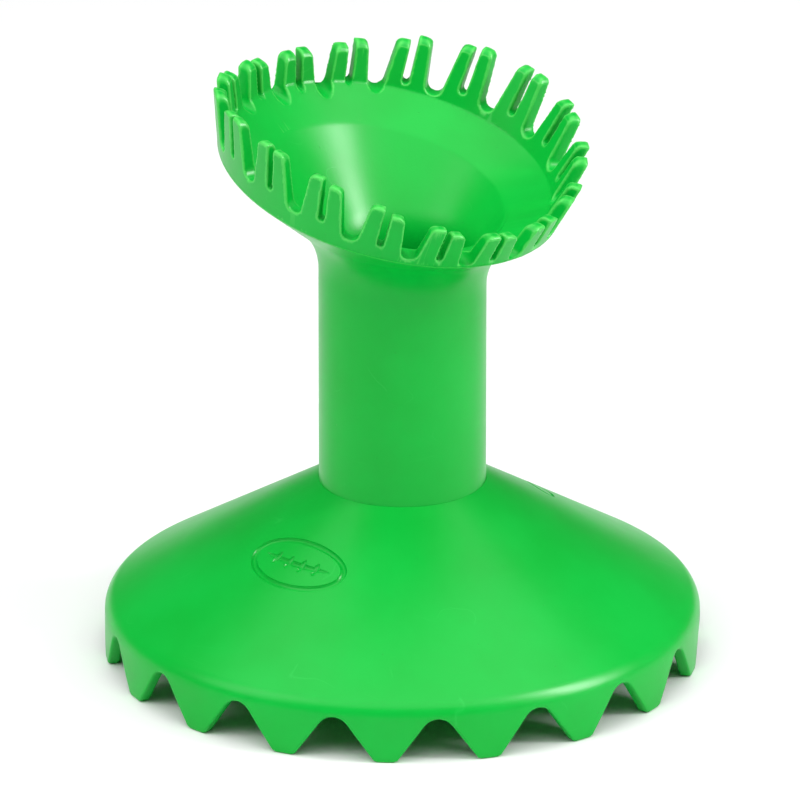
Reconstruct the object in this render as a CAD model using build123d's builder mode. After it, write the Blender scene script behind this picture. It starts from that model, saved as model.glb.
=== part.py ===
from build123d import *
from math import cos, degrees, pi, radians, sin, tan
import os

# Kicking tee for an oval ball: a toothed conical skirt stands on the turf, a
# hollow stem rises from it, and a flared neck carries a tilted finger crown
# that cradles the end of the ball.
#
# Frame: origin on the ground under the stem axis, +Z up, +X towards the low
# side of the tilted crown. Millimetres and degrees.

# ---------------------------------------------------------------- dimensions

# Ground skirt
base_radius = 75.0
skirt_wall = 3.0
rim_height = 11.2           # upright rim below the shoulder
shoulder_radius = 5.5
cone_slope = 30.8           # above the horizontal
tooth_count = 18
tooth_tip_width = 5.4
tooth_flank_angle = 36.0    # from the vertical
valley_height = 11.3        # crown of the arch between two teeth
tooth_corner_radius = 0.8

# Stem
stem_radius = 21.0
stem_wall = 4.0
foot_height = 28.0          # where the stem's foot stands inside the skirt
spigot_length = 8.0

# Socket under the skirt's peak
collar_wall = 3.0
ledge_thickness = 3.0
collar_fillet = 2.0

# Neck and well
neck_slope = 34.0           # underside of the neck, from the crown's plane
neck_blend_radius = 15.0
neck_land = 3.7             # straight neck below the lowest part of the blend
well_radius = 30.3
well_depth = 6.3            # well rim below the dish edge
well_floor_drop = 21.9      # where the well has narrowed to the bore, below the dish edge centre

# Crown
cup_height = 128.9          # dish edge centre above the ground
cup_offset = -3.2           # dish edge centre from the stem axis
cup_tilt = 15.5
dish_radius = 40.7
dish_thickness = 2.0
crown_wall = 3.9            # at the dish edge
crown_flare = 16.0          # outer wall, from the crown's axis
finger_inner_flare = 18.6   # inner face, from the crown's axis
crown_edge_drop = 3.1       # lower edge of the crown below the dish edge

# Fingers: each crown tooth is split by a slit into two fingers. Their tips and
# the bottoms of the gaps and slits rise and fall twice around the crown.
crown_tooth_count = 18
slit_width = 1.75
gap_bottom_radius = 2.2
gap_half_angle = 8.5
wave_angle = 72.0           # first high point of the gaps and slits, from the low side
tip_wave_angle = 78.0       # first high point of the tips
tip_mean, tip_swing = 11.6, 5.0
tip_lean, lean_angle = 0.7, 233.0   # the tips also rise a little towards this side
slit_mean, slit_swing = 1.5, 3.0
gap_mean, gap_swing = -0.2, 2.6
finger_corner_round = 1.9   # at the tip, on the side of the gap
finger_inner_round = 2.2
finger_outer_round = 0.5

cut_reach = 6.0             # how far cutters run past what they cut
finger_corner_end = 10.0    # slope at which the rounded corner runs out over the tip

# ------------------------------------------------------------ derived values

bore_radius = stem_radius - stem_wall
spigot_radius = stem_radius - stem_wall / 2
collar_radius = stem_radius + collar_wall
crown_pitch = 360 / crown_tooth_count

tilt = radians(cup_tilt)
low_side = Vector(cos(tilt), 0, -sin(tilt))
cup_normal = Vector(sin(tilt), 0, cos(tilt))
cup_centre = Vector(cup_offset, 0, cup_height)
cup_plane = Plane(origin=cup_centre, x_dir=low_side, z_dir=cup_normal)
cup_section = Plane(origin=cup_centre, x_dir=low_side, z_dir=(0, -1, 0))
cup_axis = Axis(cup_centre, cup_normal)


def crown_outer(height):
    """Outer radius of the crown wall at a height above the dish edge."""
    return dish_radius + crown_wall + height * tan(radians(crown_flare))


def finger_inner(height):
    """Inner radius of the fingers at a height above the dish edge."""
    return dish_radius + height * tan(radians(finger_inner_flare))


def wave(angle, mean, swing, high_point=wave_angle):
    """Height above the dish edge of a line that waves twice round the crown."""
    return mean + swing * cos(radians(2 * (angle - high_point)))


crown_edge_radius = crown_outer(-crown_edge_drop)
dish_slope = well_depth / (dish_radius - well_radius)
dish_drop = dish_thickness * (1 + dish_slope**2) ** 0.5
seat_inner_depth = well_depth + dish_drop
seat_outer_radius = dish_radius + (dish_drop - crown_edge_drop) / dish_slope
well_floor_height = cup_height - well_floor_drop

# The neck's cone meets the stem lowest on the crown's low side. The blend
# between them starts below that corner, and the neck begins below the blend.
neck_rise = tan(radians(neck_slope))
cone_depth = crown_edge_drop + crown_edge_radius * neck_rise
corner_reach = (stem_radius - cup_offset + cone_depth * sin(tilt)) / (cos(tilt) + neck_rise * sin(tilt))
corner_height = cup_height - corner_reach * sin(tilt) - (cone_depth - corner_reach * neck_rise) * cos(tilt)
blend_length = neck_blend_radius * tan(radians(90 - neck_slope + cup_tilt) / 2)
neck_height = corner_height - blend_length - neck_land


# ------------------------------------------------------------------ skirt

def valley_sketch():
    """Arched opening between two ground teeth, standing on the ground line."""
    tip_angle = degrees(tooth_tip_width / 2 / base_radius)
    half_gap = base_radius * sin(radians(180 / tooth_count - tip_angle))
    flank = radians(tooth_flank_angle)
    sharp_height = half_gap / tan(flank)
    arch_radius = (sharp_height - valley_height) / (1 / sin(flank) - 1)
    arch_centre = valley_height - arch_radius
    spread = half_gap + cut_reach * tan(flank)
    with BuildSketch(Plane.YZ.offset(base_radius - cut_reach)) as valley:
        with BuildLine():
            arch = CenterArc((0, arch_centre), arch_radius, tooth_flank_angle, 180 - 2 * tooth_flank_angle)
            left = Line(arch @ 1, (-spread, -cut_reach))
            floor = Line(left @ 1, (spread, -cut_reach))
            Line(floor @ 1, arch @ 0)
        make_face()
    return valley.sketch


with BuildPart() as valley_cutter:
    extrude(valley_sketch(), amount=2 * cut_reach)

with BuildPart() as ground_skirt:
    skirt_slope = radians(cone_slope)
    shoulder_centre = (base_radius - shoulder_radius, rim_height)
    with BuildSketch(Plane.XZ):
        with BuildLine():
            rim = Line((base_radius, 0), (base_radius, rim_height))
            shoulder = CenterArc(shoulder_centre, shoulder_radius, 0, 90 - cone_slope)
            shoulder_end = shoulder @ 1
            peak = shoulder_end.Y + (shoulder_end.X - stem_radius) * tan(skirt_slope)
            cone = Line(shoulder_end, (stem_radius, peak))
            inner_end = shoulder_end - Vector(sin(skirt_slope), cos(skirt_slope)) * skirt_wall
            inner_peak = inner_end.Y + (inner_end.X - collar_radius) * tan(skirt_slope)
            Polyline(
                cone @ 1,
                (stem_radius, foot_height),
                (bore_radius, foot_height),
                (bore_radius, foot_height - ledge_thickness),
                (collar_radius, foot_height - ledge_thickness),
                (collar_radius, inner_peak),
                inner_end,
            )
            inner_shoulder = CenterArc(
                shoulder_centre, shoulder_radius - skirt_wall, 90 - cone_slope, cone_slope - 90
            )
            Polyline(inner_shoulder @ 1, (base_radius - skirt_wall, 0), rim @ 0)
        make_face()
    revolve(axis=Axis.Z)
    collar_corner = ground_skirt.edges().filter_by(GeomType.CIRCLE).sort_by(
        lambda edge: abs(edge.radius - collar_radius) + abs(edge.center().Z - inner_peak)
    )[0]
    fillet(collar_corner, collar_fillet)
    with PolarLocations(0, tooth_count, start_angle=180 / tooth_count):
        add(valley_cutter.part, mode=Mode.SUBTRACT)
    tip_corners = ground_skirt.edges().filter_by(GeomType.LINE).group_by(Axis.Z)[0]
    fillet(tip_corners, tooth_corner_radius)

ground_skirt.part.label = "ground_skirt"

# ------------------------------------------------------------------- stem

with BuildPart() as stem_tube:
    with BuildSketch(Plane.XY.offset(foot_height)):
        Circle(stem_radius)
    extrude(amount=neck_height - foot_height)
    with BuildSketch(Plane.XY.offset(neck_height)):
        Circle(spigot_radius)
    extrude(amount=spigot_length)
    with BuildSketch(Plane.XY.offset(foot_height)):
        Circle(bore_radius)
    extrude(amount=neck_height + spigot_length - foot_height, mode=Mode.SUBTRACT)

stem_tube.part.label = "stem_tube"

# ------------------------------------------------------------------- neck

with BuildPart() as flared_neck:
    # Outer shape: a stub of the stem runs into a cone that is square to the
    # crown, and a blend joins the two.
    with BuildSketch(Plane.XY.offset(neck_height)):
        Circle(stem_radius)
    extrude(amount=well_floor_height + stem_wall - neck_height)
    with BuildSketch(cup_section):
        with BuildLine():
            Polyline(
                (0, -crown_edge_drop),
                (crown_edge_radius, -crown_edge_drop),
                (0, -cone_depth),
                close=True,
            )
        make_face()
    revolve(axis=cup_axis)
    curved_edges = flared_neck.edges().filter_by(GeomType.LINE, reverse=True)
    blend_edges = curved_edges.filter_by(GeomType.CIRCLE, reverse=True)
    fillet(blend_edges, neck_blend_radius)

    # Seat for the crown, with a lip that the crown drops over.
    with BuildSketch(cup_section):
        with BuildLine():
            Polyline(
                (0, -well_depth),
                (well_radius, -well_depth),
                (well_radius, -seat_inner_depth),
                (seat_outer_radius, -crown_edge_drop),
                (seat_outer_radius, cut_reach),
                (0, cut_reach),
                close=True,
            )
        make_face()
    revolve(axis=cup_axis, mode=Mode.SUBTRACT)

    # Well: from its tilted rim down to the level bore.
    with BuildSketch(cup_plane.offset(-well_depth)):
        Circle(well_radius)
    with BuildSketch(Plane.XY.offset(well_floor_height)):
        Circle(bore_radius)
    loft(mode=Mode.SUBTRACT)
    with BuildSketch(Plane.XY.offset(neck_height)):
        Circle(bore_radius)
    extrude(amount=well_floor_height - neck_height, mode=Mode.SUBTRACT)
    with BuildSketch(Plane.XY.offset(neck_height)):
        Circle(spigot_radius)
    extrude(amount=spigot_length, mode=Mode.SUBTRACT)

flared_neck.part.label = "flared_neck"

# ------------------------------------------------------------------ crown


def crown_radial(angle):
    """Direction across the crown at an angle from its low side."""
    return low_side.rotate(Axis((0, 0, 0), cup_normal), angle)


def notch_plane(angle):
    """Plane square to the crown's radius at the well rim, +Y along its axis."""
    radial = crown_radial(angle)
    origin = cup_centre + radial * well_radius
    return Plane(origin=origin, x_dir=cup_normal.cross(radial), z_dir=radial)


def finger_tip(middle):
    """Height above the dish edge of the finger whose middle is at an angle."""
    lean = tip_lean * cos(radians(middle - lean_angle))
    return wave(middle, tip_mean, tip_swing, tip_wave_angle) + lean


def finger_block(angle):
    """Half a crown tooth, from an angle to half a pitch on, with its rounded tip."""
    tip = finger_tip(angle + crown_pitch / 4)
    radial = crown_radial(angle)
    plane = Plane(origin=cup_centre, x_dir=radial, z_dir=radial.cross(cup_normal))
    with BuildPart() as block:
        with BuildSketch(plane) as section:
            with BuildLine():
                Polyline(
                    (finger_inner(0), 0),
                    (finger_inner(tip), tip),
                    (crown_outer(tip), tip),
                    (crown_outer(0), 0),
                    close=True,
                )
            make_face()
            for corner, radius in ((0, finger_inner_round), (-1, finger_outer_round)):
                fillet(section.vertices().group_by(Axis.Y)[-1].sort_by(Axis.X)[corner], radius)
        revolve(axis=cup_axis, revolution_arc=crown_pitch / 2)
    return block.part


def slit_cutter(angle):
    """Narrow round-bottomed slot that splits a tooth."""
    bottom = wave(angle, slit_mean, slit_swing) + slit_width / 2
    with BuildPart() as cutter:
        with BuildSketch(notch_plane(angle)):
            with Locations((0, bottom)):
                Circle(slit_width / 2)
            with Locations((0, bottom)):
                Rectangle(slit_width, notch_top, align=(Align.CENTER, Align.MIN))
        extrude(amount=notch_length)
    return cutter.part


def gap_side(bottom, tip, side):
    """One flank of a gap: up its straight wall and over the rounded corner of a finger."""
    lean = radians(gap_half_angle)
    wall_foot = bottom - gap_bottom_radius * sin(lean)
    wall_top = tip - finger_corner_round * (1 - sin(lean))
    wall_x = gap_bottom_radius * cos(lean) + (wall_top - wall_foot) * tan(lean)
    centre = (side * (wall_x + finger_corner_round * cos(lean)), wall_top - finger_corner_round * sin(lean))
    start = gap_half_angle if side < 0 else 180 - gap_half_angle
    turn = side * (finger_corner_end + gap_half_angle - 90)
    over = CenterArc(centre, finger_corner_round, start, turn)
    beyond = (over @ 1) + (over % 1) * finger_corner_round
    above = Line(over @ 1, beyond)
    Line(above @ 1, (beyond.X, notch_top))
    return over @ 0, (beyond.X, notch_top)


def gap_cutter(angle):
    """Round-bottomed gap between two teeth, which opens upwards over the fingers' corners."""
    bottom = wave(angle, gap_mean, gap_swing) + gap_bottom_radius
    with BuildPart() as cutter:
        with BuildSketch(notch_plane(angle)):
            with BuildLine():
                bend = CenterArc(
                    (0, bottom), gap_bottom_radius, 180 + gap_half_angle, 180 - 2 * gap_half_angle
                )
                left_wall, left_top = gap_side(bottom, finger_tip(angle - crown_pitch / 4), -1)
                right_wall, right_top = gap_side(bottom, finger_tip(angle + crown_pitch / 4), 1)
                Line(bend @ 0, left_wall)
                Line(bend @ 1, right_wall)
                Line(left_top, right_top)
            make_face()
        extrude(amount=notch_length)
    return cutter.part


notch_top = tip_mean + tip_swing + tip_lean + cut_reach
notch_length = crown_outer(notch_top) - well_radius + cut_reach
tooth_angles = [index * crown_pitch for index in range(crown_tooth_count)]
halves = [half for angle in tooth_angles for half in (angle - crown_pitch / 2, angle)]
fingers = [finger_block(angle) for angle in halves]
slits = [slit_cutter(angle) for angle in tooth_angles]
gaps = [gap_cutter(angle + crown_pitch / 2) for angle in tooth_angles]

with BuildPart() as finger_crown:
    with BuildSketch(cup_section):
        with BuildLine():
            Polyline(
                (well_radius, -well_depth),
                (dish_radius, 0),
                (crown_outer(0), 0),
                (crown_edge_radius, -crown_edge_drop),
                (seat_outer_radius, -crown_edge_drop),
                (well_radius, -seat_inner_depth),
                close=True,
            )
        make_face()
    revolve(axis=cup_axis)
    add(fingers, clean=False)
    add(slits + gaps, mode=Mode.SUBTRACT)

finger_crown.part.label = "finger_crown"

# ----------------------------------------------------------------- export

os.makedirs("parts", exist_ok=True)
for piece in (ground_skirt, stem_tube, flared_neck, finger_crown):
    export_step(piece.part, f"parts/{piece.part.label}.step")
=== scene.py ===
from math import acos, cos, pi, radians, sin, tan

import bpy
import numpy as np
from bpy.props import FloatProperty, FloatVectorProperty, IntProperty, PointerProperty
from mathutils import Matrix, Vector


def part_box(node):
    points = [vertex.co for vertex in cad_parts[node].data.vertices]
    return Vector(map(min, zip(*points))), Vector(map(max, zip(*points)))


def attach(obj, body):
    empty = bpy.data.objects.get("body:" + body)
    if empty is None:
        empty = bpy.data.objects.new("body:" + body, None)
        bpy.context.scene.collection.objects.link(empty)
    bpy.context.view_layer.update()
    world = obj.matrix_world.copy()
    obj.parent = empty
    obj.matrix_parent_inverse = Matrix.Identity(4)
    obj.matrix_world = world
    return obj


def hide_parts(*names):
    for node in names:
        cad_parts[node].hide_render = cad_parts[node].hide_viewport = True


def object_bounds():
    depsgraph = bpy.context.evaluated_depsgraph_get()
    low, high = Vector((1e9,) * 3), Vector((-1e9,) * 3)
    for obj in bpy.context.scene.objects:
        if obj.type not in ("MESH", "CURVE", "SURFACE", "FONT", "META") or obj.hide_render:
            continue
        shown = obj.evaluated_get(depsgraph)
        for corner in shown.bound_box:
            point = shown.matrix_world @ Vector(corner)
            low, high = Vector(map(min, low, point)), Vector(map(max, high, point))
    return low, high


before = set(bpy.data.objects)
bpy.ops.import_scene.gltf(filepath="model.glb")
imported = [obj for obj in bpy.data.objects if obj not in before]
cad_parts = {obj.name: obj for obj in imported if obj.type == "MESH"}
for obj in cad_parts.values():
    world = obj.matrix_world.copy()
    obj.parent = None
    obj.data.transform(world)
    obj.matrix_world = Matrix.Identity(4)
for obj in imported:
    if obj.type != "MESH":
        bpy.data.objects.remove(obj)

bl_info = {
    "name": "Kicking tee",
    "version": (1, 0, 0),
    "blender": (4, 5, 0),
    "location": "3D View > Sidebar > Kicking tee",
    "description": "Models and finishes a moulded kicking tee around its packed frame",
    "category": "Object",
}

MM = 0.001
BLEND_STEPS = 14
# Vertex layer of edge sharpness, where the crown's rubber paints a highlight.
BODY = "root"
EDGE_LAYER = "painted_highlight_edges"
CAD_LOW, CAD_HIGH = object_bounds()

# ------------------------------------------------------------ from the frame

SKIRT_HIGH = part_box("ground_skirt")[1]
STEM_LOW, STEM_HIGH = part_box("stem_tube")
NECK_LOW, NECK_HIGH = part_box("flared_neck")

BASE_RADIUS = SKIRT_HIGH.x
STEM_RADIUS = STEM_HIGH.x
FOOT_HEIGHT = STEM_LOW.z
SPIGOT_TOP = STEM_HIGH.z
NECK_START = NECK_LOW.z

# The neck is widest at the crown's lower edge, a circle square to the tilted axis.
EDGE_RADIUS = NECK_HIGH.y
TILT = acos((NECK_HIGH.x - NECK_LOW.x) / 2 / EDGE_RADIUS)
EDGE_CENTRE = Vector(((NECK_HIGH.x + NECK_LOW.x) / 2, 0, NECK_HIGH.z - EDGE_RADIUS * sin(TILT)))
CROWN_AXIS = Vector((sin(TILT), 0, cos(TILT)))
LOW_SIDE = Vector((cos(TILT), 0, -sin(TILT)))


def length(name, description, millimetres):
    return FloatProperty(
        name=name, description=description, default=millimetres * MM, unit="LENGTH", precision=5
    )


def angle(name, description, degrees):
    return FloatProperty(name=name, description=description, default=radians(degrees), unit="ROTATION")


def number(name, description, value):
    return FloatProperty(name=name, description=description, default=value)


def count(name, description, value):
    return IntProperty(name=name, description=description, default=value, min=1)


def colour(name, description, value):
    return FloatVectorProperty(
        name=name, description=description, default=value, subtype="COLOR", size=3, min=0, max=1
    )


# ---------------------------------------------------------------- properties


class TeeSkirt(bpy.types.PropertyGroup):
    wall: length("Wall", "Thickness of the skirt's wall", 3.0)
    rim_height: length("Rim height", "Top of the upright rim", 11.2)
    shoulder_radius: length("Shoulder", "Radius of the rounded shoulder", 5.5)
    cone_slope: angle("Cone slope", "Slope of the cone above the horizontal", 30.8)
    teeth: count("Teeth", "Ground teeth round the rim", 18)
    tip_width: length("Tip width", "Width of a tooth where its flanks meet the ground", 5.4)
    flank_angle: angle("Flank angle", "Flank of a tooth, from the vertical", 36.0)
    valley_height: length("Valley height", "Top of the arch between two teeth", 11.3)
    corner_radius: length("Tip corner", "Rounding of a tooth's two corners", 0.8)
    edge_round: length("Edge rounding", "Rounding of the rim's edges", 0.7)
    collar_wall: length("Collar wall", "Wall of the socket that holds the stem", 3.0)
    ledge: length("Ledge", "Thickness of the ledge under the stem's foot", 3.0)
    collar_fillet: length("Collar fillet", "Fillet between collar and cone", 2.0)
    crease: length("Crease", "Rounded lip of the skirt round the stem", 0.1)
    mark_radius: length("Mark radius", "Distance of the engraved mark from the axis", 40.5)
    mark_turn: angle("Mark turn", "Where the engraved mark is, from the crown's low side", -98.0)
    mark_length: length("Mark length", "Length of the engraved oval", 28.0)
    mark_height: length("Mark height", "Height of the engraved oval", 14.0)
    small_mark_turn: angle("Small mark turn", "Where the small oval is, from the crown's low side", 63.5)
    small_mark_share: number("Small mark size", "Size of the small oval, as a share of the large one", 0.36)
    groove: length("Groove", "Half the width of the engraved lines", 0.9)


class TeeStem(bpy.types.PropertyGroup):
    wall: length("Wall", "Thickness of the stem's wall", 4.0)
    columns: count("Columns", "Faces round the stem", 192)


class TeeNeck(bpy.types.PropertyGroup):
    slope: angle("Slope", "Underside of the neck, from the crown's plane", 34.0)
    blend_radius: length("Blend radius", "Blend from the stem into the neck", 15.0)
    edge_drop: length("Edge drop", "Crown's lower edge below the edge of the dish", 3.1)
    seat_radius: length("Seat radius", "Where the flat seat of the crown ends inside", 39.7)
    seat_depth: length("Seat depth", "Foot of the crown's seat below the edge of the dish", 8.66)
    well_radius: length("Well radius", "Rim of the well", 30.3)
    well_depth: length("Well depth", "Rim of the well below the edge of the dish", 6.3)
    floor_height: length("Well floor", "Height where the well has narrowed to the bore", 107.0)
    floor_round: length("Floor rounding", "Length of the bend from the well into the bore", 5.0)
    lap: length("Lap", "How far the neck's skin laps over the joints with the crown", 0.7)
    lap_rise: length("Lap rise", "How far the lapping skin stands proud of the crown", 0.05)
    columns: count("Columns", "Faces round the neck", 192)


class TeeCrown(bpy.types.PropertyGroup):
    dish_radius: length("Dish radius", "Edge of the dish", 40.7)
    wall: length("Wall", "Wall of the crown at the edge of the dish", 3.9)
    outer_flare: angle("Outer flare", "Outer wall, from the crown's axis", 16.0)
    inner_flare: angle("Inner flare", "Inner face of the fingers, from the crown's axis", 18.6)
    grain: length("Mesh size", "Size of the faces that the moulded surface is made of", 0.34)
    softening: count("Softening", "Passes that round the edges of the fingers", 10)
    snap: length("Snap", "How far a smooth wall may be from its true cone", 0.16)
    kept_share: number("Kept share", "Share of the faces that thinning the flat areas keeps", 0.5)
    full_bend: length("Full bend", "How far a vertex stands out from its neighbours on an edge", 0.020)


class TeeRubber(bpy.types.PropertyGroup):
    lit: colour("Lit green", "Colour of the rubber", (0.0, 0.475, 0.044))
    deep: colour("Deep green", "Colour of the darker mottling", (0.0, 0.425, 0.034))
    # Painted highlight: a paler green laid on the crown's sharp edges, standing in for the light that rounded
    # edges catch.
    painted_highlight: colour("Edge green", "Paler colour that the rubber has along its edges", (0.09, 0.66, 0.11))
    marked: colour("Mark green", "Colour of hair marks and scuffs", (0.06, 0.70, 0.14))
    speck: colour("Speck green", "Colour of the specks", (0.0, 0.34, 0.03))
    roughness: number("Roughness", "Mean roughness of the moulded surface", 0.33)
    roughness_spread: number("Roughness spread", "How much the roughness varies", 0.12)
    # How much painted highlight the crown's sharp edges get.
    edge_highlight_share: number("Edge share", "How far the crown's edges take the edge green", 0.8)
    mottle_size: length("Mottle size", "Size of the soft mottling", 30.0)
    grain_size: length("Grain size", "Size of the fine moulded grain", 0.55)
    grain_height: length("Grain height", "Depth of the fine moulded grain", 0.012)
    ripple_height: length("Ripple height", "Depth of the slow ripple of the surface", 0.03)
    mark_depth: length("Mark depth", "Depth of hair marks and scuffs", 0.02)
    speck_depth: length("Speck depth", "Depth of the specks", 0.03)


class TeeStage(bpy.types.PropertyGroup):
    azimuth: angle("Azimuth", "Camera, turned from the crown's low side", -56.76)
    elevation: angle("Elevation", "Camera above the horizon", 21.41)
    distance: length("Distance", "Camera to the middle of the base", 3029.0)
    lens: number("Lens", "Focal length on a 36 mm sensor", 540.0)
    aim_height: length("Aim height", "Middle of the view above the middle of the base", 62.27)
    aim_left: length("Aim left", "Middle of the view, left of the middle of the base", 0.62)
    floor: colour("Floor", "Colour of the floor", (0.95, 0.95, 0.95))
    top: number("Top light", "Power of the wide softbox overhead", 32.0)
    left: number("Left light", "Power of the wide softbox on the left", 6.3)
    right: number("Right light", "Power of the narrow softbox on the right", 6.0)
    gloss: number("Gloss light", "Power of the softbox on the right that is seen only as gloss", 24.0)
    sky: number("Sky", "Strength of the even studio light", 0.15)


# --------------------------------------------------------------- mesh helpers


def clear_selection():
    if bpy.context.mode != "OBJECT":
        bpy.ops.object.mode_set(mode="OBJECT")
    bpy.ops.object.select_all(action="DESELECT")


def arc(centre, radius, start, end, steps):
    """Points of an arc in the (radius, height) plane, ends included."""
    angles = np.linspace(start, end, steps + 1)
    return [(centre[0] + radius * cos(a), centre[1] + radius * sin(a)) for a in angles]


def run(start, end, steps):
    """Points from start towards end, start and end left out."""
    start, end = np.array(start), np.array(end)
    return [tuple(start + (end - start) * i / steps) for i in range(1, steps)]


def read_points(piece):
    points = np.empty(len(piece.data.vertices) * 3)
    piece.data.vertices.foreach_get("co", points)
    return points.reshape(-1, 3)


def write_points(piece, points):
    piece.data.vertices.foreach_set("co", np.asarray(points).ravel())
    piece.data.update()


def spun(name, outline, columns):
    """A closed outline of (radius, height) points, spun once round the upright axis."""
    clear_selection()
    bpy.ops.mesh.primitive_circle_add(vertices=len(outline), radius=BASE_RADIUS)
    piece = bpy.context.object
    piece.name = piece.data.name = name
    write_points(piece, [(r, 0, z) for r, z in outline])
    bpy.ops.object.mode_set(mode="EDIT")
    bpy.ops.mesh.select_all(action="SELECT")
    bpy.ops.mesh.spin(steps=columns, angle=2 * pi, center=(0, 0, 0), axis=(0, 0, 1))
    bpy.ops.mesh.select_all(action="SELECT")
    bpy.ops.mesh.remove_doubles(threshold=0.001 * MM)
    bpy.ops.mesh.normals_make_consistent(inside=False)
    bpy.ops.object.mode_set(mode="OBJECT")
    return piece


def rows_and_angles(piece, outline):
    """Each vertex's place in the outline and its angle round the upright axis."""
    points = read_points(piece)
    radius_height = np.stack([np.hypot(points[:, 0], points[:, 1]), points[:, 2]], axis=1)
    gaps = np.linalg.norm(radius_height[:, None, :] - np.array(outline)[None], axis=2)
    return gaps.argmin(axis=1), np.arctan2(points[:, 1], points[:, 0])


def store_edges(piece, full_bend, passes):
    """Store how far each vertex stands out from its neighbours: 1 on the edges, 0 on flat areas."""
    mesh = piece.data
    size = len(mesh.vertices)
    pairs = np.empty(len(mesh.edges) * 2, dtype=np.int64)
    mesh.edges.foreach_get("vertices", pairs)
    here, there = pairs.reshape(-1, 2).T
    here, there = np.concatenate([here, there]), np.concatenate([there, here])
    neighbours = np.bincount(here, minlength=size)

    def around(values):
        return np.bincount(here, weights=values[there], minlength=size) / neighbours

    points = read_points(piece)
    normals = np.empty(size * 3)
    mesh.vertex_normals.foreach_get("vector", normals)
    offsets = points - np.stack([around(points[:, axis]) for axis in range(3)], axis=1)
    bend = (offsets * normals.reshape(-1, 3)).sum(axis=1)
    for _ in range(passes):
        bend = (bend + around(bend)) / 2
    # This mask tells the material where to paint the edge highlight.
    layer = mesh.attributes.new(EDGE_LAYER, "FLOAT", "POINT")
    layer.data.foreach_set("value", np.clip(bend / full_bend, 0, 1))


def finish_piece(piece, node, material, smooth_angle=35):
    clear_selection()
    piece.select_set(True)
    bpy.context.view_layer.objects.active = piece
    bpy.ops.object.shade_smooth_by_angle(angle=radians(smooth_angle))
    piece.data.materials.clear()
    piece.data.materials.append(material)
    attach(piece, BODY)
    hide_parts(node)


# ---------------------------------------------------------------- materials


class Value:
    """A number socket that Python's operators turn into Math nodes."""

    def __init__(self, tree, socket):
        self.tree = tree
        self.socket = socket

    def math(self, operation, *others):
        return self.tree.node("ShaderNodeMath", {"operation": operation}, dict(enumerate((self, *others))))

    def __add__(self, other):
        return self.math("ADD", other)

    def __sub__(self, other):
        return self.math("SUBTRACT", other)

    def __rsub__(self, other):
        return self.tree.node("ShaderNodeMath", {"operation": "SUBTRACT"}, {0: other, 1: self})

    def __mul__(self, other):
        return self.math("MULTIPLY", other)

    __radd__ = __add__
    __rmul__ = __mul__

    def near(self, middle, half_width):
        """1 where this value is within half_width of middle, fading to 0 beyond it."""
        return self.ramp(((0.0, 0.0), (middle - half_width, 0.0), (middle, 1.0), (middle + half_width, 0.0)))

    def ramp(self, stops):
        """This value through straight stretches between (position, value) stops."""
        node = self.tree.make("ShaderNodeValToRGB", {})
        elements = node.color_ramp.elements
        while len(elements) < len(stops):
            elements.new(0.5)
        for element, (position, level) in zip(elements, stops):
            element.position = position
            element.color = (level, level, level, 1)
        self.tree.feed(node, {0: self})
        return Value(self.tree, node.outputs[0])


class Finish:
    """One material, built up from its nodes."""

    def __init__(self, name):
        self.material = bpy.data.materials.new(name)
        self.material.use_nodes = True
        self.nodes = self.material.node_tree.nodes
        self.links = self.material.node_tree.links
        self.nodes.clear()

    def make(self, kind, settings):
        node = self.nodes.new(kind)
        for setting, value in settings.items():
            setattr(node, setting, value)
        return node

    def feed(self, node, inputs):
        for key, value in inputs.items():
            socket = node.inputs[key]
            if isinstance(value, Value):
                self.links.new(value.socket, socket)
            elif isinstance(value, bpy.types.NodeSocket):
                self.links.new(value, socket)
            else:
                socket.default_value = value

    def node(self, kind, settings, inputs, output=0):
        node = self.make(kind, settings)
        self.feed(node, inputs)
        return Value(self, node.outputs[output])

    def place(self, scale=(1, 1, 1), turn=(0, 0, 0), shift=(0, 0, 0)):
        coordinates = self.make("ShaderNodeTexCoord", {}).outputs["Object"]
        inputs = {"Vector": coordinates, "Scale": scale, "Rotation": turn, "Location": shift}
        return self.node("ShaderNodeMapping", {}, inputs)

    def noise(self, where, size, detail=2.0, roughness=0.5):
        """Soft noise whose lumps are about size metres across."""
        inputs = {"Vector": where, "Scale": 1 / size, "Detail": detail, "Roughness": roughness}
        return self.node("ShaderNodeTexNoise", {}, inputs, "Fac")

    def mixed(self, factor, first, second):
        settings = {"data_type": "RGBA"}
        node = self.make("ShaderNodeMix", settings)
        first, second = [(*tint, 1) if isinstance(tint, tuple) else tint for tint in (first, second)]
        self.feed(node, {0: factor, 6: first, 7: second})
        return node.outputs[2]

    def surface(self, constants, varying):
        shader = self.make("ShaderNodeBsdfPrincipled", {})
        self.feed(shader, {**constants, **varying})
        output = self.make("ShaderNodeOutputMaterial", {})
        self.links.new(shader.outputs[0], output.inputs["Surface"])
        return self.material


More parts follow.
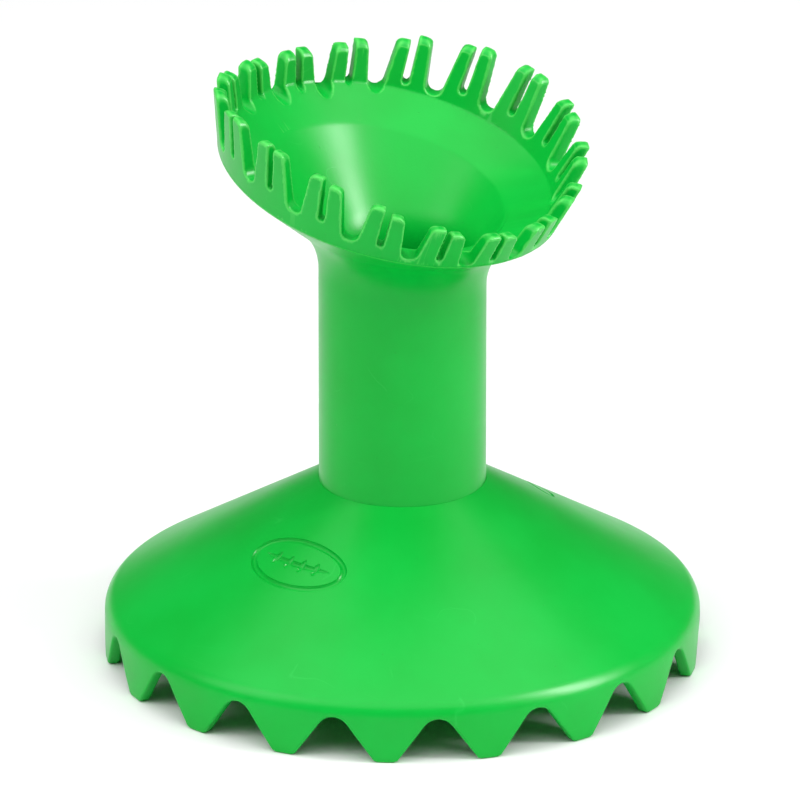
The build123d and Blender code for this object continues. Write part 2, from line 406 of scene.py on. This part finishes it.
def green_rubber(name, look, edge_highlight_share):
    """Moulded satin rubber: soft mottling, fine grain, a few scuffs, hair marks and specks.

    The edge share is how far sharp edges take a paler colour, which is a painted highlight."""
    finish = Finish(name)
    here = finish.place()

    mottle = finish.noise(here, look.mottle_size, 4).ramp(((0.35, 0.0), (0.65, 1.0)))
    body = finish.mixed(mottle, tuple(look.deep), tuple(look.lit))

    grain = finish.noise(here, look.grain_size, 2)
    ripple = finish.noise(here, 9 * MM, 1)
    few = ((0.68, 0.0), (0.72, 1.0))
    hairs = finish.noise(finish.place(shift=(0.31, 0.12, 0.05)), 22 * MM, 1.5, 0.4).near(0.5, 0.002)
    hair_zones = finish.noise(here, 12 * MM, 0).ramp(few)
    streaked = finish.place(scale=(0.1, 1, 1), turn=(0.3, 0.2, 0.6))
    scuffs = finish.noise(streaked, 8 * MM, 0).near(0.5, 0.004)
    scuff_zones = finish.noise(finish.place(shift=(0.2, 0.1, 0)), 16 * MM, 0).ramp(few)
    marks = hairs * hair_zones * 0.5 + scuffs * scuff_zones * 0.4
    cells = {"Vector": here, "Scale": 1 / (6 * MM)}
    speck_field = finish.node("ShaderNodeTexVoronoi", {}, cells, "Distance")
    specks = speck_field.ramp(((0.0, 1.0), (0.03, 1.0), (0.045, 0.0)))

    if edge_highlight_share:
        # Painted highlight: sharp edges take the paler edge green, standing in for the light that rounded
        # edges catch.
        edges = finish.node("ShaderNodeAttribute", {"attribute_name": EDGE_LAYER}, {}, "Fac")
        edges = edges.ramp(((0.35, 0.0), (1.0, 1.0)))
        body = finish.mixed(edges * edge_highlight_share, body, tuple(look.painted_highlight))
    tinted = finish.mixed(marks * 0.3, body, tuple(look.marked))
    colour_out = finish.mixed(specks * 0.4, tinted, tuple(look.speck))
    smoothest = look.roughness - look.roughness_spread / 2
    roughness = finish.noise(here, 14 * MM, 3) * look.roughness_spread + smoothest
    raised = grain * look.grain_height + ripple * look.ripple_height
    height = raised - marks * look.mark_depth - specks * look.speck_depth
    bump = finish.node("ShaderNodeBump", {}, {"Strength": 1.0, "Distance": 1.0, "Height": height})
    constants = {"IOR": 1.32, "Specular IOR Level": 0.5}
    varying = {"Base Color": colour_out, "Roughness": roughness, "Normal": bump.socket}
    return finish.surface(constants, varying)


def floor_finish(name, look):
    """Matt pale floor with a faint unevenness."""
    finish = Finish(name)
    cloud = finish.noise(finish.place(), 120 * MM, 3)
    pale = tuple(look.floor)
    soft = tuple(level * 0.985 for level in pale)
    body = finish.mixed(cloud, soft, pale)
    grain = finish.noise(finish.place(), 1.5 * MM, 2)
    bump = finish.node("ShaderNodeBump", {}, {"Strength": 0.2, "Distance": 0.02 * MM, "Height": grain})
    varying = {"Base Color": body, "Roughness": cloud * 0.1 + 0.7, "Normal": bump.socket}
    return finish.surface({"Specular IOR Level": 0.2}, varying)


def rubber(context, edge_highlight_share=0.0):
    """The tee's one rubber, made once, and once more with a highlight painted on its sharp edges for the
    crown.
    """
    name = "green_rubber_edge_highlight" if edge_highlight_share else "green_rubber_satin"
    made = bpy.data.materials.get(name)
    return made or green_rubber(name, context.scene.tee_rubber, edge_highlight_share)


# -------------------------------------------------------------- ground skirt


def path_lengths(points):
    steps = np.linalg.norm(np.diff(np.array(points), axis=0), axis=1)
    return np.concatenate([[0], np.cumsum(steps)])


def tooth_edge(sizes, pitch_half):
    """Lower edge of half a tooth, from the middle of its tip to the top of the arch beside it."""
    flank = sizes.flank_angle
    half_tip = sizes.tip_width / 2
    sharp_height = (pitch_half - half_tip) / tan(flank)
    arch_radius = (sharp_height - sizes.valley_height) / (1 / sin(flank) - 1)
    corner = sizes.corner_radius
    tangent = corner * tan((pi / 2 - flank) / 2)
    edge = [(0.0, 0.0)]
    edge += arc((half_tip - tangent, corner), corner, -pi / 2, -flank, 8)
    edge += arc((pitch_half, sizes.valley_height - arch_radius), arch_radius, pi - flank, pi / 2, 16)
    return edge


def skirt_outline(sizes):
    """Closed outline of the skirt, and how many of its points lie on the outer and inner rim."""
    edge, wall = sizes.edge_round, sizes.wall
    slope = sizes.cone_slope
    centre = (BASE_RADIUS - sizes.shoulder_radius, sizes.rim_height)
    bore = STEM_RADIUS - bpy.context.scene.tee_stem.wall
    collar = STEM_RADIUS + sizes.collar_wall

    outer = arc((BASE_RADIUS - edge, edge), edge, -pi / 2, 0, 4)
    outer += run(outer[-1], (BASE_RADIUS, sizes.rim_height), 7)
    outer += arc(centre, sizes.shoulder_radius, 0, pi / 2 - slope, 10)
    top = outer[-1]

    inner = arc(centre, sizes.shoulder_radius - wall, pi / 2 - slope, 0, 6)
    under = inner[0]
    inner += run(inner[-1], (BASE_RADIUS - wall, edge), 7)
    inner += arc((BASE_RADIUS - wall + edge, edge), edge, pi, 3 * pi / 2, 4)

    lip = STEM_RADIUS + sizes.crease
    lip_height = top[1] + (top[0] - lip) * tan(slope)
    lip_bend = arc((lip, lip_height - sizes.crease), sizes.crease, pi / 2, pi, 3)
    collar_top = under[1] + (under[0] - collar) * tan(slope)
    bend = sizes.collar_fillet
    turn = bend * tan((pi / 2 - slope) / 2)
    collar_end = collar_top - turn - bend * 0.35
    middle = run(top, lip_bend[0], 16) + lip_bend
    middle += [
        (STEM_RADIUS, FOOT_HEIGHT),
        (bore, FOOT_HEIGHT),
        (bore, FOOT_HEIGHT - sizes.ledge),
        (collar, FOOT_HEIGHT - sizes.ledge),
        (collar, collar_end),
        (collar + bend * 0.4, collar_top - bend * 0.75),
        (collar + bend, collar_top - bend * tan(slope)),
    ]
    middle += run(middle[-1], under, 12)
    return outer + middle + inner, len(outer), len(inner)


def rim_points(wall, rows, lifts, edge_round):
    """Points of a rim wall that starts at the teeth's lower edge instead of at the ground.

    The rounded edge keeps its shape, and the rows above it close up."""
    wall = np.array(wall)
    lengths = path_lengths(wall)
    upright = wall[(wall[:, 1] > edge_round * 0.99)]
    upright_lengths = path_lengths(upright)
    radius = np.empty(len(rows))
    height = np.empty(len(rows))
    for i, (row, lift) in enumerate(zip(rows, lifts)):
        r, z = wall[row]
        start = np.interp(lift + edge_round, upright[:, 1], upright_lengths)
        if z <= edge_round:
            at_start = np.interp(start, upright_lengths, upright[:, 0])
            radius[i] = at_start + (r - upright[0, 0])
            height[i] = z + lift
        else:
            share = np.interp(z, upright[:, 1], upright_lengths) / upright_lengths[-1]
            place = start + share * (upright_lengths[-1] - start)
            radius[i] = np.interp(place, upright_lengths, upright[:, 0])
            height[i] = np.interp(place, upright_lengths, upright[:, 1])
    return radius, height


def oval_groove(sizes, share):
    """A flat oval ring, to be laid on the cone and cut from it."""
    clear_selection()
    groove = sizes.groove * (1 + share) / 2
    bpy.ops.mesh.primitive_torus_add(
        major_radius=sizes.mark_height, minor_radius=groove, major_segments=72, minor_segments=12
    )
    ring = bpy.context.object
    points = read_points(ring)
    turns = np.arctan2(points[:, 1], points[:, 0])
    points[:, 0] += (sizes.mark_length * share / 2 - sizes.mark_height) * np.cos(turns)
    points[:, 1] += (sizes.mark_height * share / 2 - sizes.mark_height) * np.sin(turns)
    write_points(ring, points)
    return ring


def dash_groove(sizes, middle, dash_length, upright):
    """A flat dash with tapering ends, to be laid on the cone and cut from it."""
    clear_selection()
    bpy.ops.mesh.primitive_uv_sphere_add(segments=16, ring_count=24, radius=1)
    dash = bpy.context.object
    along = read_points(dash)[:, 2]
    around = read_points(dash)[:, :2] * sizes.groove
    points = np.stack([along * dash_length / 2, around[:, 0], around[:, 1]], axis=1)
    if upright:
        points = points[:, [1, 0, 2]] * (1, 1, -1)
    points[:, 0] += middle
    write_points(dash, points)
    return dash


def engrave(piece, cutters, sizes, turn):
    """Lay flat cutters on the cone, x round it and y up its slope, and cut them from it."""
    clear_selection()
    for cutter in cutters:
        cutter.select_set(True)
    bpy.context.view_layer.objects.active = cutters[0]
    if len(cutters) > 1:
        bpy.ops.object.join()
    tool = bpy.context.object
    slope = sizes.cone_slope
    centre = (BASE_RADIUS - sizes.shoulder_radius, sizes.rim_height)
    shoulder_end = arc(centre, sizes.shoulder_radius, 0, pi / 2 - slope, 1)[-1]
    start = shoulder_end[1] + (shoulder_end[0] - sizes.mark_radius) * tan(slope)
    points = read_points(tool)
    lift = points[:, 2] + sizes.groove * 0.15
    radius = sizes.mark_radius - points[:, 1] * cos(slope) + lift * sin(slope)
    height = start + points[:, 1] * sin(slope) + lift * cos(slope)
    angles = turn + points[:, 0] / sizes.mark_radius
    write_points(tool, np.stack([radius * np.cos(angles), radius * np.sin(angles), height], axis=1))
    bpy.ops.object.mode_set(mode="EDIT")
    bpy.ops.mesh.select_all(action="SELECT")
    bpy.ops.mesh.normals_make_consistent(inside=False)
    bpy.ops.object.mode_set(mode="OBJECT")

    clear_selection()
    piece.select_set(True)
    bpy.context.view_layer.objects.active = piece
    carve = piece.modifiers.new("engraving", "BOOLEAN")
    carve.operation = "DIFFERENCE"
    carve.solver = "EXACT"
    carve.object = tool
    bpy.ops.object.modifier_apply(modifier=carve.name)
    bpy.data.objects.remove(tool)


class TEE_OT_skirt(bpy.types.Operator):
    """Spin the hollow skirt and raise its rim into the arches between the ground teeth"""

    bl_idname = "tee.skirt"
    bl_label = "Ground skirt"

    def execute(self, context):
        sizes = context.scene.tee_skirt
        outline, outer_count, inner_count = skirt_outline(sizes)
        steps_per_half = 18
        piece = spun("ground_skirt_moulding", outline, 2 * steps_per_half * sizes.teeth)

        rows, angles = rows_and_angles(piece, outline)
        pitch = 2 * pi / sizes.teeth
        edge = tooth_edge(sizes, BASE_RADIUS * pitch / 2)
        along, edge = path_lengths(edge), np.array(edge)
        tooth = np.round(angles / pitch)
        offset = angles - tooth * pitch
        place = np.abs(offset) / (pitch / 2) * along[-1]
        turned = tooth * pitch + np.sign(offset) * np.interp(place, along, edge[:, 0]) / BASE_RADIUS
        lifts = np.interp(place, along, edge[:, 1])

        radius, height = np.array(outline)[rows].T.copy()
        outer = rows < outer_count
        outer_wall = outline[:outer_count]
        radius[outer], height[outer] = rim_points(
            outer_wall, rows[outer], lifts[outer], sizes.edge_round
        )
        first = len(outline) - inner_count
        inner = rows >= first
        inner_wall = outline[first:][::-1]
        inner_rows = inner_count - 1 - (rows[inner] - first)
        radius[inner], height[inner] = rim_points(
            inner_wall, inner_rows, lifts[inner], sizes.edge_round
        )
        across, along = radius * np.cos(turned), radius * np.sin(turned)
        write_points(piece, np.stack([across, along, height], axis=1))

        stitch = sizes.mark_height * 0.3
        spots = (-1.5, -0.5, 0.5, 1.5)
        stitches = [dash_groove(sizes, spot * stitch, stitch, True) for spot in spots]
        seam = dash_groove(sizes, 0, sizes.mark_length * 0.75, False)
        engrave(piece, [oval_groove(sizes, 1.0)] + stitches, sizes, sizes.mark_turn)
        engrave(piece, [seam], sizes, sizes.mark_turn)
        engrave(piece, [oval_groove(sizes, sizes.small_mark_share)], sizes, sizes.small_mark_turn)
        finish_piece(piece, "ground_skirt", rubber(context))
        return {"FINISHED"}


# ---------------------------------------------------------------------- stem


class TEE_OT_stem(bpy.types.Operator):
    """Spin the straight hollow stem with the spigot at its top"""

    bl_idname = "tee.stem"
    bl_label = "Stem"

    def execute(self, context):
        sizes = context.scene.tee_stem
        bore = STEM_RADIUS - sizes.wall
        spigot = STEM_RADIUS - sizes.wall / 2
        outline = [(bore, FOOT_HEIGHT), (STEM_RADIUS, FOOT_HEIGHT)]
        outline += run(outline[-1], (STEM_RADIUS, NECK_START), 16)
        outline += [(STEM_RADIUS, NECK_START), (spigot, NECK_START), (spigot, SPIGOT_TOP), (bore, SPIGOT_TOP)]
        outline += run(outline[-1], outline[0], 12)
        piece = spun("stem_moulding", outline, sizes.columns)
        finish_piece(piece, "stem_tube", rubber(context))
        return {"FINISHED"}


# ---------------------------------------------------------------------- neck


def on_crown(radius, height, turn, edge_drop):
    """A point of the tilted crown: its radius, its height above the dish's edge and its angle."""
    across = LOW_SIDE * cos(turn) + Vector((0, 1, 0)) * sin(turn)
    return EDGE_CENTRE + CROWN_AXIS * (height + edge_drop) + across * radius


def bezier(start, corner, end, t):
    """A point of the curve that rounds a corner between two straight runs."""
    return start.lerp(corner, t).lerp(corner.lerp(end, t), t)


def neck_section(sizes, turn):
    """The neck's closed section at one angle: up the outside, over the seat and down the well."""
    drop = sizes.edge_drop
    edge = on_crown(EDGE_RADIUS, -drop, turn, drop)
    apex = EDGE_CENTRE - CROWN_AXIS * (EDGE_RADIUS * tan(sizes.slope))
    way = edge - apex
    a, b = way.x**2 + way.y**2, 2 * apex.x * way.x
    c = apex.x**2 - STEM_RADIUS**2
    corner = apex + way * ((-b + (b * b - 4 * a * c) ** 0.5) / (2 * a))
    outward = way.normalized()
    bend = outward.angle(Vector((0, 0, 1)))
    reach = sizes.blend_radius * tan(bend / 2)
    first, last = corner - Vector((0, 0, reach)), corner + outward * reach

    points = [Vector((corner.x, corner.y, NECK_START))]
    points += [points[0].lerp(first, step / 4) for step in range(1, 4)]
    weight = cos(bend / 2)
    for step in range(BLEND_STEPS + 1):
        t = step / BLEND_STEPS
        parts = ((1 - t) ** 2, 2 * t * (1 - t) * weight, t * t)
        points.append((first * parts[0] + corner * parts[1] + last * parts[2]) / sum(parts))
    round_start = edge.lerp(last, sizes.lap / (edge - last).length)
    points += [last.lerp(round_start, step / 8) for step in range(1, 9)]

    # The skin laps over the joint with the crown outside, and over the dish inside.
    crown = bpy.context.scene.tee_crown
    lap, rise = sizes.lap, sizes.lap_rise
    wall_lean = tan(crown.outer_flare)
    lap_top = on_crown(EDGE_RADIUS + rise + lap * wall_lean, lap - drop, turn, drop)
    corner_out = on_crown(EDGE_RADIUS + rise, -drop - rise, turn, drop)
    points += [bezier(round_start, corner_out, lap_top, step / 5) for step in range(1, 6)]
    points.append(on_crown(EDGE_RADIUS + lap * wall_lean - 2 * rise, lap - drop, turn, drop))
    points.append(on_crown(EDGE_RADIUS - 2 * rise, 2 * rise - drop, turn, drop))
    points.append(on_crown(sizes.seat_radius, -drop, turn, drop))
    points.append(on_crown(sizes.well_radius, -sizes.seat_depth, turn, drop))
    rim = on_crown(sizes.well_radius, rise - sizes.well_depth, turn, drop)
    dish_rise = sizes.well_depth / (crown.dish_radius - sizes.well_radius)
    lap_height = lap * dish_rise - sizes.well_depth
    lap_end = on_crown(sizes.well_radius + lap, lap_height + rise, turn, drop)
    points.append(on_crown(sizes.well_radius + lap, lap_height - 2 * rise, turn, drop))
    bore = STEM_RADIUS - bpy.context.scene.tee_stem.wall
    spigot = STEM_RADIUS - bpy.context.scene.tee_stem.wall / 2
    level = Vector((cos(turn), sin(turn), 0))
    floor = level * bore + Vector((0, 0, sizes.floor_height))
    bend_in = rim.lerp(floor, lap / (floor - rim).length)
    bend_out = floor.lerp(rim, sizes.floor_round / (floor - rim).length)
    points += [bezier(lap_end, rim, bend_in, step / 5) for step in range(6)]
    points += [bend_in.lerp(bend_out, step / 16) for step in range(1, 16)]
    bore_top = floor - Vector((0, 0, floor.z - SPIGOT_TOP))
    points += [bezier(bend_out, floor, bore_top, step / 12) for step in range(13)]
    points.append(level * spigot + Vector((0, 0, SPIGOT_TOP)))
    points.append(level * spigot + Vector((0, 0, NECK_START)))
    return points


class TEE_OT_neck(bpy.types.Operator):
    """Spin the neck's section and turn its upper rings square to the tilted crown"""

    bl_idname = "tee.neck"
    bl_label = "Flared neck"

    def execute(self, context):
        sizes = context.scene.tee_neck
        low_section = neck_section(sizes, 0)
        outline = [(point.x, point.z) for point in low_section]
        piece = spun("neck_moulding", outline, sizes.columns)
        rows, angles = rows_and_angles(piece, outline)
        sections = {}
        points = []
        for row, turn in zip(rows, angles):
            key = round(turn, 5)
            if key not in sections:
                sections[key] = neck_section(sizes, turn)
            points.append(tuple(sections[key][row]))
        write_points(piece, points)
        finish_piece(piece, "flared_neck", rubber(context))
        return {"FINISHED"}


# --------------------------------------------------------------------- crown


class TEE_OT_crown(bpy.types.Operator):
    """Soften the edges of the finger crown as a mould leaves them, and true up its smooth walls"""

    bl_idname = "tee.crown"
    bl_label = "Finger crown"

    def execute(self, context):
        sizes = context.scene.tee_crown
        neck = context.scene.tee_neck
        clear_selection()
        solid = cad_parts["finger_crown"]
        solid.select_set(True)
        context.view_layer.objects.active = solid
        bpy.ops.object.duplicate()
        piece = context.object
        piece.name = piece.data.name = "crown_moulding"
        for key in list(piece.keys()):
            if key.startswith("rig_"):
                del piece[key]
        piece.parent = None
        bpy.ops.object.mode_set(mode="EDIT")
        bpy.ops.mesh.select_all(action="SELECT")
        bpy.ops.mesh.remove_doubles(threshold=0.001 * MM)
        bpy.ops.object.mode_set(mode="OBJECT")

        origin = EDGE_CENTRE + CROWN_AXIS * neck.edge_drop
        upright = Matrix.Rotation(-TILT, 4, "Y") @ Matrix.Translation(-origin)
        piece.data.transform(upright)
        remesh = piece.modifiers.new("faces", "REMESH")
        remesh.mode = "VOXEL"
        remesh.voxel_size = sizes.grain
        bpy.ops.object.modifier_apply(modifier=remesh.name)
        soften = piece.modifiers.new("softening", "SMOOTH")
        soften.factor = 0.5
        soften.iterations = sizes.softening
        bpy.ops.object.modifier_apply(modifier=soften.name)
        self.true_up(piece, sizes, neck)
        piece.data.transform(upright.inverted())
        # Edge sharpness, for the highlight that the crown's material paints on its edges.
        store_edges(piece, sizes.full_bend, 2)
        thin = piece.modifiers.new("thinning", "DECIMATE")
        thin.ratio = sizes.kept_share
        bpy.ops.object.modifier_apply(modifier=thin.name)
        # The crown's rubber gets a highlight painted on its sharp edges.
        edge_highlight_share = context.scene.tee_rubber.edge_highlight_share
        finish_piece(piece, "finger_crown", rubber(context, edge_highlight_share), 180)
        return {"FINISHED"}

    def true_up(self, piece, sizes, neck):
        """Put vertices that are close to a smooth wall back on its exact cone."""
        points = read_points(piece)
        radius = np.hypot(points[:, 0], points[:, 1])
        height = points[:, 2]
        dish_slope = neck.well_depth / (sizes.dish_radius - neck.well_radius)
        dish = sizes.dish_radius + height / dish_slope
        outer = sizes.dish_radius + sizes.wall + height * tan(sizes.outer_flare)
        inner = sizes.dish_radius + height * tan(sizes.inner_flare)
        for wall, part in (
            (dish, height < 0),
            (outer, height > -neck.edge_drop),
            (inner, height > 0),
        ):
            miss = np.where(part, wall - radius, 1.0)
            near = np.clip(1.6 - 1.6 * np.abs(miss) / sizes.snap, 0, 1)
            moved = radius + miss * near
            points[:, 0] *= moved / radius
            points[:, 1] *= moved / radius
            radius = moved
        write_points(piece, points)


# --------------------------------------------------------------------- stage


def softbox(name, place, target, size, power):
    """A rectangular soft light at a place, turned to its target."""
    clear_selection()
    bpy.ops.object.light_add(type="AREA", location=place)
    lamp = bpy.context.object
    lamp.name = name
    lamp.data.shape = "RECTANGLE"
    lamp.data.size, lamp.data.size_y = size
    lamp.data.energy = power
    lamp.rotation_euler = (target - place).to_track_quat("-Z", "Y").to_euler()


class TEE_OT_stage(bpy.types.Operator):
    """Set the floor, the soft lights and the camera"""

    bl_idname = "tee.stage"
    bl_label = "Stage"

    def execute(self, context):
        look = context.scene.tee_stage
        clear_selection()
        bpy.ops.mesh.primitive_plane_add(size=12.0, location=(0, 0, 0))
        floor = context.object
        floor.name = floor.data.name = "floor"
        floor.data.materials.append(floor_finish("pale_floor", look))

        towards = Vector((cos(look.azimuth), sin(look.azimuth), 0))
        right = Vector((-towards.y, towards.x, 0))
        middle = (CAD_LOW + CAD_HIGH) / 2
        side = (0.3, 1.0, 0.6)
        lamps = {
            "top_softbox": ((0.3, 0.0, 1.4), (2.2, 2.2), look.top),
            "left_softbox": ((0.4, -1.0, 0.8), (0.7, 0.8), look.left),
            "right_softbox": (side, (0.15, 0.5), look.right),
            "gloss_softbox": (side, (0.3, 0.8), look.gloss),
        }
        for name, ((front, across, above), size, power) in lamps.items():
            place = middle + towards * front + right * across + Vector((0, 0, above))
            softbox(name, place, middle, size, power)
        bpy.data.objects["gloss_softbox"].visible_diffuse = False

        world = bpy.data.worlds.new("studio")
        world.use_nodes = True
        world.node_tree.nodes["Background"].inputs["Color"].default_value = (1, 1, 1, 1)
        world.node_tree.nodes["Background"].inputs["Strength"].default_value = look.sky
        context.scene.world = world
        context.scene.view_settings.view_transform = "Standard"

        back = towards * cos(look.elevation) + Vector((0, 0, sin(look.elevation)))
        rise = Vector((0, 0, 1)) * cos(look.elevation) - towards * sin(look.elevation)
        aim = rise * look.aim_height - right * look.aim_left
        bpy.ops.object.camera_add(location=aim + back * look.distance)
        camera = context.object
        camera.name = "camera"
        camera.rotation_euler = (-back).to_track_quat("-Z", "Y").to_euler()
        camera.data.lens = look.lens
        camera.data.clip_end = 20
        context.scene.camera = camera
        return {"FINISHED"}


# --------------------------------------------------------------------- panel


GROUPS = {
    "tee_skirt": TeeSkirt,
    "tee_stem": TeeStem,
    "tee_neck": TeeNeck,
    "tee_crown": TeeCrown,
    "tee_rubber": TeeRubber,
    "tee_stage": TeeStage,
}
OPERATORS = (TEE_OT_skirt, TEE_OT_stem, TEE_OT_neck, TEE_OT_crown, TEE_OT_stage)


class TEE_PT_panel(bpy.types.Panel):
    bl_label = "Kicking tee"
    bl_idname = "TEE_PT_panel"
    bl_space_type = "VIEW_3D"
    bl_region_type = "UI"
    bl_category = "Kicking tee"

    def draw(self, context):
        for operator in OPERATORS:
            self.layout.operator(operator.bl_idname)
        for name, group in GROUPS.items():
            box = self.layout.box()
            for entry in group.__annotations__:
                box.prop(getattr(context.scene, name), entry)


def register():
    for group in GROUPS.values():
        bpy.utils.register_class(group)
    for name, group in GROUPS.items():
        setattr(bpy.types.Scene, name, PointerProperty(type=group))
    for operator in OPERATORS:
        bpy.utils.register_class(operator)
    bpy.utils.register_class(TEE_PT_panel)


def unregister():
    bpy.utils.unregister_class(TEE_PT_panel)
    for operator in reversed(OPERATORS):
        bpy.utils.unregister_class(operator)
    for name in GROUPS:
        delattr(bpy.types.Scene, name)
    for group in GROUPS.values():
        bpy.utils.unregister_class(group)


def main():
    register()
    bpy.ops.tee.skirt()
    bpy.ops.tee.stem()
    bpy.ops.tee.neck()
    bpy.ops.tee.crown()
    bpy.ops.tee.stage()


if __name__ == "__main__":
    main()
